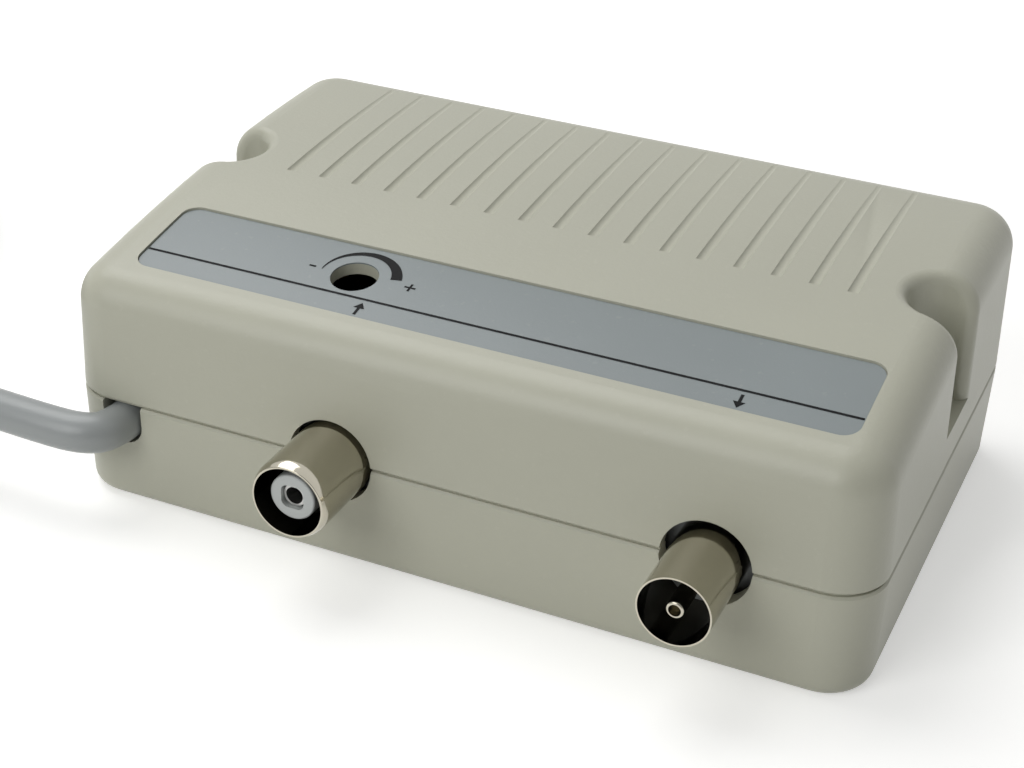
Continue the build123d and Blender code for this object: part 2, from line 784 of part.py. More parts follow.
with BuildPart() as shield_lid:
    with BuildSketch(Plane.XY.offset(can_top - 4.5)):
        with Locations(can_centre):
            Rectangle(can_width + 0.9, can_depth + 0.9)
            Rectangle(can_width + 0.1, can_depth + 0.1, mode=Mode.SUBTRACT)
    extrude(amount=4.5)
    with BuildSketch(Plane.XY.offset(can_top - can_wall)):
        with Locations(can_centre):
            Rectangle(can_width + 0.9, can_depth + 0.9)
        with Locations((gain_x, gain_y)):
            Circle(4.0, mode=Mode.SUBTRACT)
    extrude(amount=can_wall)
    with BuildSketch(Plane.XZ.offset(-can_front - 2)):
        with Locations((input_x, connector_z), (output_x, connector_z)):
            Circle(socket_outer + 0.3)
    extrude(amount=4, mode=Mode.SUBTRACT)
write(shield_lid.part, "shield_lid")

with BuildPart() as shield_partition:
    with BuildSketch(Plane.YZ.offset(2)):
        with BuildLine():
            Polyline(
                (can_front + can_wall, board_top),
                (can_back - can_wall, board_top),
                (can_back - can_wall, can_top - can_wall - 0.4),
                (can_front + can_wall, can_top - can_wall - 0.4),
                close=True,
            )
        make_face()
        with Locations((gain_y + 3, board_top + 2)):
            Rectangle(4, 4, mode=Mode.SUBTRACT)
    extrude(amount=0.2, both=True)
write(shield_partition.part, "shield_partition")

# Input socket: sleeve with a drawn-in lip, insulator and centre contact
tip = -case_depth / 2 - socket_reach
with BuildPart() as input_socket_shell:
    with BuildSketch(Plane.XZ.offset(-can_front)):
        with Locations((input_x, connector_z)):
            Circle(socket_outer)
            Circle(socket_bore, mode=Mode.SUBTRACT)
    extrude(amount=can_front - tip)
    chamfer(
        input_socket_shell.faces().sort_by(Axis.Y)[0].outer_wire().edges(),
        length=socket_outer - socket_lip,
        length2=socket_lip_length,
        reference=input_socket_shell.faces().sort_by(Axis.Y)[0],
    )
    neck = input_socket_shell.edges().filter_by(GeomType.CIRCLE).filter_by_position(
        Axis.Y, tip + socket_lip_length - 0.05, tip + socket_lip_length + 0.05
    )
    fillet(neck, socket_neck_radius)
    fillet(input_socket_shell.faces().sort_by(Axis.Y)[0].outer_wire().edges(), socket_lip_radius)
write(input_socket_shell.part, "input_socket_shell")

with BuildPart() as input_socket_insulator:
    with BuildSketch(Plane.XZ.offset(-can_front)):
        with Locations((input_x, connector_z)):
            Circle(socket_bore)
            Circle(0.6, mode=Mode.SUBTRACT)
    extrude(amount=2.6)
    with BuildSketch(Plane.XZ.offset(-can_front)):
        with Locations((input_x, connector_z)):
            Circle(3.2)
            RectangleRounded(3.2, 3.2, 0.9, mode=Mode.SUBTRACT)
    extrude(amount=can_front - tip - 1.3)
    fillet(input_socket_insulator.faces().sort_by(Axis.Y)[0].outer_wire().edges(), 0.3)
write(input_socket_insulator.part, "input_socket_insulator")

with BuildPart() as input_socket_contact:
    with BuildSketch(Plane.XZ.offset(-can_front + 2.6)):
        with Locations((input_x, connector_z)):
            Circle(1.55)
            Circle(1.21, mode=Mode.SUBTRACT)
    extrude(amount=can_front - tip - 2.6 - 1.9)
    with BuildSketch(Plane.XZ.offset(-can_front + 2.6)):
        with Locations((input_x, connector_z)):
            Circle(1.55)
    extrude(amount=0.8)
    with BuildSketch(Plane.XZ.offset(-socket_pin[1] - 0.35)):
        with Locations((input_x, connector_z)):
            Circle(0.6)
    extrude(amount=socket_pin[1] + 0.35 - can_front + 2.6)
    with BuildSketch(Plane.XY.offset(lead_end)):
        with Locations(socket_pin):
            Circle(lead_radius)
    extrude(amount=connector_z - lead_end)
write(input_socket_contact.part, "input_socket_contact")

# Output plug: plain sleeve, insulator and rolled centre pin
with BuildPart() as output_plug_shell:
    with BuildSketch(Plane.XZ.offset(-can_front)):
        with Locations((output_x, connector_z)):
            Circle(plug_outer)
            Circle(plug_bore, mode=Mode.SUBTRACT)
    extrude(amount=can_front + case_depth / 2 + plug_reach)
write(output_plug_shell.part, "output_plug_shell")

with BuildPart() as output_plug_insulator:
    with BuildSketch(Plane.XZ.offset(-can_front)):
        with Locations((output_x, connector_z)):
            Circle(plug_bore)
            Circle(1.18, mode=Mode.SUBTRACT)
    extrude(amount=5.5)
write(output_plug_insulator.part, "output_plug_insulator")

with BuildPart() as output_plug_pin:
    with BuildSketch(Plane.XZ.offset(-plug_pin[1] - 0.35)):
        with Locations((output_x, connector_z)):
            Circle(1.18)
    extrude(amount=plug_pin[1] + 0.35 + case_depth / 2 + plug_reach - 0.4)
    fillet(output_plug_pin.faces().sort_by(Axis.Y)[0].edges(), 0.3)
    with BuildSketch(Plane.XZ.offset(case_depth / 2 + plug_reach)):
        with Locations((output_x, connector_z)):
            Circle(0.8)
    extrude(amount=-4, mode=Mode.SUBTRACT)
    with BuildSketch(Plane.XY.offset(lead_end)):
        with Locations(plug_pin):
            Circle(lead_radius)
    extrude(amount=connector_z - lead_end)
write(output_plug_pin.part, "output_plug_pin")

# Gain trimmer: body with a round well, terminals, and the rotor that turns in it
with BuildPart() as gain_trimmer_body:
    with BuildSketch(Plane.XY.offset(board_top)):
        with Locations((gain_x, gain_y)):
            RectangleRounded(10, 10, 0.8)
    extrude(amount=4.8)
    with BuildSketch(Plane.XY.offset(board_top + 1)):
        with Locations((gain_x, gain_y)):
            Circle(3.55)
    extrude(amount=5, mode=Mode.SUBTRACT)
write(gain_trimmer_body.part, "gain_trimmer_body")

with BuildPart() as gain_trimmer_rotor:
    with BuildSketch(Plane.XY.offset(board_top + 1.1)):
        with Locations((gain_x, gain_y)):
            Circle(3.5)
    extrude(amount=4.6)
    fillet(gain_trimmer_rotor.faces().sort_by(Axis.Z)[-1].edges(), 0.4)
    with BuildSketch(Plane.XY.offset(board_top + 4.3)):
        with Locations((gain_x, gain_y)):
            Rectangle(0.9, 5)
        with Locations((gain_x, gain_y + 2.4)):
            RegularPolygon(1.0, 3, rotation=90)
    extrude(amount=3, mode=Mode.SUBTRACT)
write(gain_trimmer_rotor.part, "gain_trimmer_rotor")

with BuildPart() as gain_trimmer_terminals:
    with BuildSketch(Plane.XY.offset(board_top)):
        with Locations(*trimmer_pins):
            Rectangle(0.9, 0.4)
    extrude(amount=3.4)
    with BuildSketch(Plane.XY.offset(lead_end)):
        with Locations(*trimmer_pins):
            Circle(0.3)
    extrude(amount=board_top - lead_end)
write(gain_trimmer_terminals.part, "gain_trimmer_terminals")

# Two insulated cores from the end of the cord to the board
wire_radius = 1.1
cord_end_y = -24.0


def mains_wire(points, name):
    """Insulated core along a smooth path, with its bare end through the board."""
    with BuildPart() as wire:
        with BuildLine() as path:
            Spline(*points, tangents=((0, 1, 0), (0, 0, -1)))
        with BuildSketch(Plane(origin=path.line @ 0, z_dir=path.line % 0)):
            Circle(wire_radius)
        sweep(path=path.line)
        with BuildSketch(Plane.XY.offset(lead_end)):
            with Locations((points[-1][0], points[-1][1])):
                Circle(lead_radius)
        extrude(amount=board_top - lead_end)
    write(wire.part, name)


mains_wire(
    [
        (cord_x - 1.2, cord_end_y, cord_z),
        (-48.4, -18.6, 13.4),
        (-42.6, -12.4, 14.4),
        (-37.4, -9.6, 12.4),
        (mains_pads[0][0], mains_pads[0][1], board_top),
    ],
    "mains_wire_live",
)
mains_wire(
    [
        (cord_x + 1.2, cord_end_y, cord_z),
        (-46.0, -20.6, 13.0),
        (-41.5, -16.8, 14.0),
        (-37.3, -14.5, 12.2),
        (mains_pads[1][0], mains_pads[1][1], board_top),
    ],
    "mains_wire_neutral",
)

# Mains cord: out through the notch, round to the left and down to the table, where
# its put-away length lies in two layers of turns with the plug on top
cord_radius = cord_diameter / 2
exit_y = -40.8
coil_x = -157.5
coil_front_y = -40.25
coil_turn = 42.3
coil_pitch = 6.1
coil_layer_turns = 6
straight = cord_diameter
upper_z = cord_radius + coil_pitch


def bend_radius(before, corner, after):
    """Radius of the arc that rounds a corner of a cord's path, and the turn in degrees."""
    first = Vector(*corner) - Vector(*before)
    second = Vector(*after) - Vector(*corner)
    turn = first.get_angle(second)
    return 0.45 * min(first.length, second.length) / tan(radians(turn / 2)), turn


def rounded_path(points, tightest):
    """Straight runs joined by tangent arcs, each as wide as its runs allow."""
    start = Vector(*points[0])
    for before, corner, after in zip(points, points[1:], points[2:]):
        radius, turn = bend_radius(before, corner, after)
        radius = radius if turn < 60 else tightest
        print(f"cord corner {corner}: turn {turn:.1f}, radius {radius:.1f}")
        first = (Vector(*corner) - Vector(*before)).normalized()
        second = (Vector(*after) - Vector(*corner)).normalized()
        back = radius * tan(radians(turn / 2))
        arc_start = Vector(*corner) - first * back
        arc_end = Vector(*corner) + second * back
        Line(start, arc_start)
        TangentArc(arc_start, arc_end, tangent=first)
        start = arc_end
    Line(start, Vector(*points[-1]))


lead_points = [
    (cord_x, cord_end_y, cord_z),
    (cord_x, exit_y, cord_z),
    (-72.0, -39.6, cord_z),
    (-92.0, -42.4, cord_radius),
    (-122.0, coil_front_y, cord_radius),
    (coil_x + straight, coil_front_y, cord_radius),
]
with BuildPart() as mains_cord:
    with BuildLine() as lead_path:
        rounded_path(lead_points, 6.2)
    with BuildSketch(Plane(origin=lead_path.line @ 0, z_dir=lead_path.line % 0)):
        Circle(cord_radius)
    sweep(path=lead_path.line)
write(mains_cord.part, "mains_cord")


def compare(path, part, name):
    """Print a swept piece's length and its volume against section times length."""
    length = path.wire().length
    print(f"{name}: length {length:.1f}, volume ratio "
          f"{part.volume / (pi * cord_radius**2 * length):.4f}")


compare(lead_path, mains_cord.part, "lead")

plug_thickness = 13.7
plug_z = upper_z + cord_radius + plug_thickness / 2
plug_turn = 28.0
with BuildPart() as mains_cord_coil:
    with BuildLine() as coil_path:
        Line((coil_x + straight, coil_front_y, cord_radius), (coil_x, coil_front_y, cord_radius))
        y = coil_front_y
        side = -1
        for k in range(coil_layer_turns):
            r = coil_turn - k * coil_pitch / 2
            end_y = y - side * 2 * r
            ThreePointArc(
                (coil_x, y, cord_radius),
                (coil_x + side * r, (y + end_y) / 2, cord_radius),
                (coil_x, end_y, cord_radius),
            )
            y = end_y
            side = -side
        r = coil_turn - coil_layer_turns * coil_pitch / 2
        end_y = y - side * 2 * r
        ThreePointArc(
            (coil_x, y, cord_radius),
            (coil_x + side * sqrt(r**2 + coil_pitch**2 / 4), (y + end_y) / 2,
             cord_radius + coil_pitch / 2),
            (coil_x, end_y, upper_z),
        )
        y = end_y
        side = -side
        for k in range(coil_layer_turns - 1, 1, -1):
            r = coil_turn - k * coil_pitch / 2
            end_y = y - side * 2 * r
            ThreePointArc(
                (coil_x, y, upper_z),
                (coil_x + side * r, (y + end_y) / 2, upper_z),
                (coil_x, end_y, upper_z),
            )
            y = end_y
            side = -side
        rise_start = Vector(coil_x + straight, y, upper_z)
        rise_end = rise_start + Vector(plug_turn, -plug_turn, plug_z - upper_z)
        rise = rise_end - rise_start
        reach = sqrt(plug_turn**2 + rise.length**2 / 2) - plug_turn
        first_knee = rise_start + Vector(reach, 0, 0)
        second_knee = rise_end + Vector(0, reach, 0)
        middle = (first_knee + second_knee) / 2
        Line((coil_x, y, upper_z), rise_start)
        TangentArc(rise_start, middle, tangent=(1, 0, 0))
        TangentArc(middle, rise_end, tangent=second_knee - first_knee)
        Line(rise_end, rise_end - Vector(0, straight, 0))
    with BuildSketch(Plane(origin=coil_path.line @ 0, z_dir=coil_path.line % 0)):
        Circle(cord_radius)
    sweep(path=coil_path.line)
write(mains_cord_coil.part, "mains_cord_coil")
compare(coil_path, mains_cord_coil.part, "coil")
coil_length = coil_path.wire().length
samples = [coil_path.wire().position_at(i / 900) for i in range(901)]
least = min(
    (samples[i] - samples[j]).length - cord_diameter
    for i in range(901)
    for j in range(i + 1 + int(900 * 40 / coil_length), 901)
)
print(f"coil: least gap to itself {least:.2f}")

# Flat two-pin mains plug lying on the coil
plug_x = rise_end.X
plug_back_y = rise_end.Y - straight
plug_length = 35.3
plug_width = 35.3
pin_spacing = 18.6
pin_radius = 2.0
pin_length = 19.0
face_y = plug_back_y - plug_length
with BuildPart() as plug_body:
    with BuildSketch(Plane.XZ.offset(-face_y)):
        with Locations((plug_x, plug_z)):
            RectangleRounded(plug_width, plug_thickness, 5.5)
    with BuildSketch(Plane.XZ.offset(-face_y - 12)):
        with Locations((plug_x, plug_z)):
            RectangleRounded(plug_width, plug_thickness, 5.5)
    with BuildSketch(Plane.XZ.offset(-face_y - 26)):
        with Locations((plug_x, plug_z)):
            RectangleRounded(16, 11.6, 5.0)
    with BuildSketch(Plane.XZ.offset(-plug_back_y)):
        with Locations((plug_x, plug_z)):
            RectangleRounded(9.2, 9.2, 4.5)
    loft(ruled=True)
    fillet(plug_body.faces().sort_by(Axis.Y)[0].edges(), 0.8)
write(plug_body.part, "plug_body")

with BuildPart() as plug_pins:
    with BuildSketch(Plane.XZ.offset(-face_y)):
        with Locations((plug_x, plug_z)):
            with GridLocations(pin_spacing, 1, 2, 1):
                Circle(pin_radius)
    extrude(amount=pin_length)
    fillet(plug_pins.faces().sort_by(Axis.Y)[0].edges(), 1.2)
    with BuildSketch(Plane.XZ.offset(-face_y)):
        with Locations((plug_x, plug_z)):
            with GridLocations(pin_spacing, 1, 2, 1):
                Circle(pin_radius + 1)
                Circle(pin_radius - 0.35, mode=Mode.SUBTRACT)
    extrude(amount=10, mode=Mode.SUBTRACT)
write(plug_pins.part, "plug_pins")

with BuildPart() as plug_pin_sleeves:
    with BuildSketch(Plane.XZ.offset(-face_y)):
        with Locations((plug_x, plug_z)):
            with GridLocations(pin_spacing, 1, 2, 1):
                Circle(pin_radius - 0.05)
                Circle(pin_radius - 0.35, mode=Mode.SUBTRACT)
    extrude(amount=10)
write(plug_pin_sleeves.part, "plug_pin_sleeves")
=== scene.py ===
from math import cos, pi, radians, sin, sqrt

import bpy
from mathutils import Matrix, Vector


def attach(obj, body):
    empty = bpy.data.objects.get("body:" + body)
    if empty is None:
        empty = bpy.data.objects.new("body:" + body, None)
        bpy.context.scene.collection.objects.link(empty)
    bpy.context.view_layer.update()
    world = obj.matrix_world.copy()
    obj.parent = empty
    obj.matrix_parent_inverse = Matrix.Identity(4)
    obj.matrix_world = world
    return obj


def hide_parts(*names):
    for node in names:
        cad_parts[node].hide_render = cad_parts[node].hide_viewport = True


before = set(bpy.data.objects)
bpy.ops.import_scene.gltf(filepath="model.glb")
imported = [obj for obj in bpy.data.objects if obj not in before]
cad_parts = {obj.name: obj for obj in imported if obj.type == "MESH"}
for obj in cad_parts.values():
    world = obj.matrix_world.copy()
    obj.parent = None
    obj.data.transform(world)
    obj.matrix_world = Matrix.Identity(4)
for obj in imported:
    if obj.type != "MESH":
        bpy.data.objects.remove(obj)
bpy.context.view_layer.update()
mm = 0.001

# Camera: stands above the front right of the case and looks down on the roof,
# with the front and its two connectors running down to the right.
camera_data = bpy.data.cameras.new("view_camera")
sensor_width = 36.0
focal_pixels = 1970.8
picture_pixels = 1024
camera_data.sensor_width = sensor_width
camera_data.lens = focal_pixels * sensor_width / picture_pixels
camera_data.clip_start = 0.01
camera = bpy.data.objects.new("view_camera", camera_data)
bpy.context.scene.collection.objects.link(camera)
camera_place = Vector((92.1, -226.31, 151.63)) * mm
camera_right = Vector((0.91062, 0.41224, 0.02893))
camera_up = Vector((-0.22691, 0.44025, 0.86873))
camera_back = Vector((0.34539, -0.79764, 0.49444))
camera.matrix_world = Matrix.Translation(camera_place) @ Matrix(
    (camera_right, camera_up, camera_back)
).transposed().to_4x4()
bpy.context.scene.camera = camera
bpy.context.scene.view_settings.view_transform = "Standard"

# Mains cord: round two-core vinyl lead, pale grey, clamped inside the case. It leaves
# through the notch at the left of the front, turns left, drops to the table and is
# wound into a neat coil of two layers, with its last piece running to the plug.
cord_width = 5.6 * mm
exit_x = -48.0
exit_z = 12.4
lying_z = 2.8
coil_front_y = -40.25
cord_points = [
    (exit_x, -30.0, exit_z),
    (exit_x, -38.0, exit_z),
    (-51.0, -40.9, exit_z),
    (-60.0, -40.8, exit_z),
    (-72.0, -39.8, 12.2),
    (-92.0, -42.2, lying_z),
    (-122.0, -40.3, lying_z),
    (-151.9, coil_front_y, lying_z),
]
coil_x = -157.5
outer_turn = 42.3
inner_turn = 24.0
turn_shrink = 3.05
climbing = 0.5
turn_steps = 12
step_angle = pi / turn_steps
layer_gap = 6.1
half_turns = [(outer_turn - turn_shrink * k, 0) for k in range(6)] + [(inner_turn, climbing)]
half_turns += [(outer_turn - turn_shrink * k, 1) for k in range(5, 1, -1)]
y = coil_front_y
heading = 1
for radius, layer in half_turns:
    centre_y = y + heading * radius
    for step in range(turn_steps):
        angle = (step + 0.5) * step_angle
        across = radius / cos(step_angle / 2)
        climb = (step + 0.5) / turn_steps if layer == climbing else layer
        cord_points.append((
            coil_x - heading * across * sin(angle),
            centre_y - heading * across * cos(angle),
            lying_z + climb * layer_gap,
        ))
    y += heading * 2 * radius
    heading = -heading
cord_points += [
    (coil_x + 6.0, y, 8.9),
    (coil_x + 15.0, y - 0.6, 9.6),
    (coil_x + 24.5, y - 6.5, 12.6),
    (coil_x + 31.5, y - 15.0, 16.6),
    (coil_x + 33.6, y - 24.0, 18.5),
    (coil_x + 33.6, y - 33.6, 18.55),
]
cord_curve = bpy.data.curves.new("mains_lead", "CURVE")
cord_curve.dimensions = "3D"
cord_curve.bevel_depth = cord_width / 2
cord_curve.bevel_resolution = 8
cord_curve.resolution_u = 6
cord_curve.use_fill_caps = True
cord_spline = cord_curve.splines.new("NURBS")
cord_spline.points.add(len(cord_points) - 1)
for point, place in zip(cord_spline.points, cord_points):
    point.co = (place[0] * mm, place[1] * mm, place[2] * mm, 1)
cord_spline.order_u = 3
cord_spline.use_endpoint_u = True
mains_lead = bpy.data.objects.new("mains_lead", cord_curve)
bpy.context.scene.collection.objects.link(mains_lead)


def linear(red, green, blue):
    """Scene colour for a colour given in display values from 0 to 255."""
    return tuple(
        ((v / 255 + 0.055) / 1.055) ** 2.4 if v > 10 else v / 255 / 12.92
        for v in (red, green, blue)
    ) + (1.0,)


def grain_group():
    """Moulded or printed surface: mottled colour, uneven sheen and fine grain."""
    group = bpy.data.node_groups.new("surface_grain", "ShaderNodeTree")
    sockets = group.interface
    sockets.new_socket("Color", in_out="INPUT", socket_type="NodeSocketColor")
    for name in ("Mottle", "Roughness", "Grain Scale", "Grain Depth", "Dust"):
        sockets.new_socket(name, in_out="INPUT", socket_type="NodeSocketFloat")
    sockets.new_socket("Color", in_out="OUTPUT", socket_type="NodeSocketColor")
    sockets.new_socket("Roughness", in_out="OUTPUT", socket_type="NodeSocketFloat")
    sockets.new_socket("Normal", in_out="OUTPUT", socket_type="NodeSocketVector")
    nodes = group.nodes
    links = group.links
    enter = nodes.new("NodeGroupInput")
    leave = nodes.new("NodeGroupOutput")
    place = nodes.new("ShaderNodeTexCoord")
    patches = nodes.new("ShaderNodeTexNoise")
    patches.inputs["Scale"].default_value = 45
    patches.inputs["Detail"].default_value = 4
    links.new(place.outputs["Object"], patches.inputs["Vector"])
    lighten = nodes.new("ShaderNodeMapRange")
    lighten.inputs["From Min"].default_value = 0.3
    lighten.inputs["From Max"].default_value = 0.7
    links.new(patches.outputs["Fac"], lighten.inputs["Value"])
    lowest = nodes.new("ShaderNodeMath")
    lowest.operation = "SUBTRACT"
    lowest.inputs[0].default_value = 1
    links.new(enter.outputs["Mottle"], lowest.inputs[1])
    links.new(lowest.outputs[0], lighten.inputs["To Min"])
    highest = nodes.new("ShaderNodeMath")
    highest.operation = "ADD"
    highest.inputs[0].default_value = 1
    links.new(enter.outputs["Mottle"], highest.inputs[1])
    links.new(highest.outputs[0], lighten.inputs["To Max"])
    tone = nodes.new("ShaderNodeVectorMath")
    tone.operation = "SCALE"
    links.new(enter.outputs["Color"], tone.inputs[0])
    links.new(lighten.outputs["Result"], tone.inputs["Scale"])
    specks = nodes.new("ShaderNodeTexNoise")
    specks.inputs["Scale"].default_value = 900
    specks.inputs["Detail"].default_value = 2
    links.new(place.outputs["Object"], specks.inputs["Vector"])
    speck_mask = nodes.new("ShaderNodeMapRange")
    speck_mask.inputs["From Min"].default_value = 0.66
    speck_mask.inputs["From Max"].default_value = 0.74
    links.new(specks.outputs["Fac"], speck_mask.inputs["Value"])
    speck_amount = nodes.new("ShaderNodeMath")
    speck_amount.operation = "MULTIPLY"
    links.new(speck_mask.outputs["Result"], speck_amount.inputs[0])
    links.new(enter.outputs["Dust"], speck_amount.inputs[1])
    dusty = nodes.new("ShaderNodeMix")
    dusty.data_type = "RGBA"
    dusty.inputs["B"].default_value = linear(214, 212, 200)
    links.new(speck_amount.outputs[0], dusty.inputs["Factor"])
    links.new(tone.outputs["Vector"], dusty.inputs["A"])
    links.new(dusty.outputs["Result"], leave.inputs["Color"])
    sheen = nodes.new("ShaderNodeMapRange")
    sheen.inputs["To Min"].default_value = 0.85
    sheen.inputs["To Max"].default_value = 1.15
    links.new(patches.outputs["Fac"], sheen.inputs["Value"])
    roughness = nodes.new("ShaderNodeMath")
    roughness.operation = "MULTIPLY"
    links.new(enter.outputs["Roughness"], roughness.inputs[0])
    links.new(sheen.outputs["Result"], roughness.inputs[1])
    links.new(roughness.outputs[0], leave.inputs["Roughness"])
    grain = nodes.new("ShaderNodeTexNoise")
    grain.inputs["Detail"].default_value = 3
    links.new(place.outputs["Object"], grain.inputs["Vector"])
    links.new(enter.outputs["Grain Scale"], grain.inputs["Scale"])
    depth = nodes.new("ShaderNodeMath")
    depth.operation = "MULTIPLY"
    links.new(grain.outputs["Fac"], depth.inputs[0])
    links.new(enter.outputs["Grain Depth"], depth.inputs[1])
    bump = nodes.new("ShaderNodeBump")
    bump.inputs["Strength"].default_value = 1
    bump.inputs["Distance"].default_value = 0.001
    links.new(depth.outputs[0], bump.inputs["Height"])
    links.new(bump.outputs["Normal"], leave.inputs["Normal"])
    return group


surface_grain = grain_group()


def finish(name, color, roughness, mottle=0.03, grain=1500, depth=0.03, dust=0.0, metallic=0.0):
    """Material with the shared grain and its own colour and sheen."""
    material = bpy.data.materials.new(name)
    material.use_nodes = True
    shader = material.node_tree.nodes["Principled BSDF"]
    surface = material.node_tree.nodes.new("ShaderNodeGroup")
    surface.node_tree = surface_grain
    surface.inputs["Color"].default_value = color
    surface.inputs["Mottle"].default_value = mottle
    surface.inputs["Roughness"].default_value = roughness
    surface.inputs["Grain Scale"].default_value = grain
    surface.inputs["Grain Depth"].default_value = depth
    surface.inputs["Dust"].default_value = dust
    shader.inputs["Metallic"].default_value = metallic
    links = material.node_tree.links
    links.new(surface.outputs["Color"], shader.inputs["Base Color"])
    links.new(surface.outputs["Roughness"], shader.inputs["Roughness"])
    links.new(surface.outputs["Normal"], shader.inputs["Normal"])
    return material


def dress(material, *names):
    """Give CAD pieces their finish."""
    for name in names:
        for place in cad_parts[name].material_slots:
            place.link = "OBJECT"
            place.material = material


vinyl_color = linear(151, 155, 155)
cord_vinyl = finish("cord_vinyl", vinyl_color, roughness=0.36, grain=900)
mains_lead.data.materials.append(cord_vinyl)
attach(mains_lead, "amplifier")
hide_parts("mains_cord", "mains_cord_coil")

# Mains plug: soft vinyl moulded round two nickel-plated pins, whose first half is
# sleeved in hard black plastic.
nickel_color = linear(188, 183, 168)
nickel = finish(
    "nickel_plate", nickel_color, roughness=0.2, mottle=0.04, grain=700, depth=0.008, metallic=1.0
)
black_plastic = finish("black_moulding", linear(34, 34, 35), roughness=0.45, mottle=0.05)
dress(finish("plug_vinyl", vinyl_color, roughness=0.4, grain=900), "plug_body")
dress(nickel, "plug_pins")
dress(black_plastic, "plug_pin_sleeves")

# Case: two halves moulded in warm light grey plastic with a fine satin surface. The
# top half has the grooves, the label pocket and the side recesses.
case_plastic = finish(
    "case_plastic", linear(180, 180, 164),
    roughness=0.4, mottle=0.02, grain=1400, depth=0.04, dust=0.06,
)
dress(case_plastic, "top_cover", "bottom_cover", "cord_clamp")

# Label: printed satin film, blue grey, let into the pocket of the roof.
label_film = finish(
    "label_film", linear(132, 140, 141), roughness=0.34, grain=2600, depth=0.015, dust=0.05
)
dress(label_film, "rating_label")

# Label print: black ink on the film. A rule runs the whole width, a wedge grows round
# the gain hole between a minus and a plus, and an arrow marks each connector.
ink_height = 0.03
label_roof = 312.7
roof_axis_y = 28.0
roof_axis_z = -273.7
label_x = 0.9
input_x = -15.8
output_x = 35.9
gain_x = -19.6
gain_y = -21.65
ink_vertices = []
ink_faces = []


def ink(outline):
    """One printed patch: its outline laid on the curve of the label."""
    first = len(ink_vertices)
    for x, y in outline:
        z = sqrt(label_roof ** 2 - (y - roof_axis_y) ** 2) + roof_axis_z + ink_height
        ink_vertices.append((x * mm, y * mm, z * mm))
    ink_faces.append(tuple(range(first, first + len(outline))))


def ink_bar(x, y, width, depth):
    """Upright printed rectangle about a centre."""
    ink([
        (x - width / 2, y - depth / 2), (x + width / 2, y - depth / 2),
        (x + width / 2, y + depth / 2), (x - width / 2, y + depth / 2),
    ])


def ink_arrow(x, y, way):
    """Short arrow along the depth of the case, to the back or to the front."""
    ink_bar(x, y - way * 0.5, 0.42, 1.5)
    ink([(x - 0.8, y + way * 0.15), (x + 0.8, y + way * 0.15), (x, y + way * 1.3)][::way])


rule_y = -25.75
rule_length = 99.6
rule_width = 0.4
ink_bar(label_x, rule_y, rule_length, rule_width)
wedge_steps = 48
wedge_turn = radians(168)
wedge_inner = 4.85
wedge_thin = 0.12
wedge_growth = 1.45
wedge_edge = []
for step in range(wedge_steps + 1):
    angle = pi - step / wedge_steps * wedge_turn
    outer = wedge_inner + wedge_thin + wedge_growth * step / wedge_steps
    wedge_edge.append([
        (gain_x + r * cos(angle), gain_y + r * sin(angle)) for r in (wedge_inner, outer)
    ])
for near, far in zip(wedge_edge, wedge_edge[1:]):
    ink([near[0], far[0], far[1], near[1]][::-1])
plus_size = 1.6
minus_size = 1.0
stroke = 0.32
ink_bar(gain_x + 8.0, gain_y + 0.3, plus_size, stroke)
ink_bar(gain_x + 8.0, gain_y + 0.3, stroke, plus_size)
ink_bar(gain_x - 6.4, gain_y + 0.2, minus_size, stroke)
arrow_y = -27.8
ink_arrow(input_x, arrow_y, 1)
ink_arrow(output_x, arrow_y, -1)
ink_mesh = bpy.data.meshes.new("label_print")
ink_mesh.from_pydata(ink_vertices, [], ink_faces)
label_print = bpy.data.objects.new("label_print", ink_mesh)
bpy.context.scene.collection.objects.link(label_print)
label_ink = finish("label_ink", linear(12, 13, 14), roughness=0.5, mottle=0.02)
label_ink.node_tree.nodes["Principled BSDF"].inputs["Specular IOR Level"].default_value = 0.1
ink_mesh.materials.append(label_ink)
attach(label_print, "amplifier")

# Coaxial connectors: rolled brass sleeves plated with nickel, a white insulator in
# each, and a plated contact or pin in the middle.
sleeve_height = 15.4
bore_limit = -0.5 * mm


def bore_mask_group():
    """Mask of the inner wall of a sleeve that lies along Y: 1 where it faces its axis."""
    group = bpy.data.node_groups.new("bore_mask", "ShaderNodeTree")
    group.interface.new_socket("Axis X", in_out="INPUT", socket_type="NodeSocketFloat")
    group.interface.new_socket("Inside", in_out="OUTPUT", socket_type="NodeSocketFloat")
    nodes = group.nodes
    links = group.links
    enter = nodes.new("NodeGroupInput")
    leave = nodes.new("NodeGroupOutput")
    place = nodes.new("ShaderNodeTexCoord")
    surface = nodes.new("ShaderNodeNewGeometry")
    axis = nodes.new("ShaderNodeCombineXYZ")
    axis.inputs["Z"].default_value = sleeve_height * mm
    links.new(enter.outputs["Axis X"], axis.inputs["X"])
    outward = nodes.new("ShaderNodeVectorMath")
    outward.operation = "SUBTRACT"
    links.new(place.outputs["Object"], outward.inputs[0])
    links.new(axis.outputs["Vector"], outward.inputs[1])
    flat = nodes.new("ShaderNodeVectorMath")
    flat.operation = "MULTIPLY"
    flat.inputs[1].default_value = (1, 0, 1)
    links.new(outward.outputs["Vector"], flat.inputs[0])
    facing = nodes.new("ShaderNodeVectorMath")
    facing.operation = "DOT_PRODUCT"
    links.new(flat.outputs["Vector"], facing.inputs[0])
    links.new(surface.outputs["Normal"], facing.inputs[1])
    inner = nodes.new("ShaderNodeMath")
    inner.operation = "LESS_THAN"
    inner.inputs[1].default_value = bore_limit
    links.new(facing.outputs["Value"], inner.inputs[0])
    links.new(inner.outputs[0], leave.inputs["Inside"])
    return group


bore_mask = bore_mask_group()


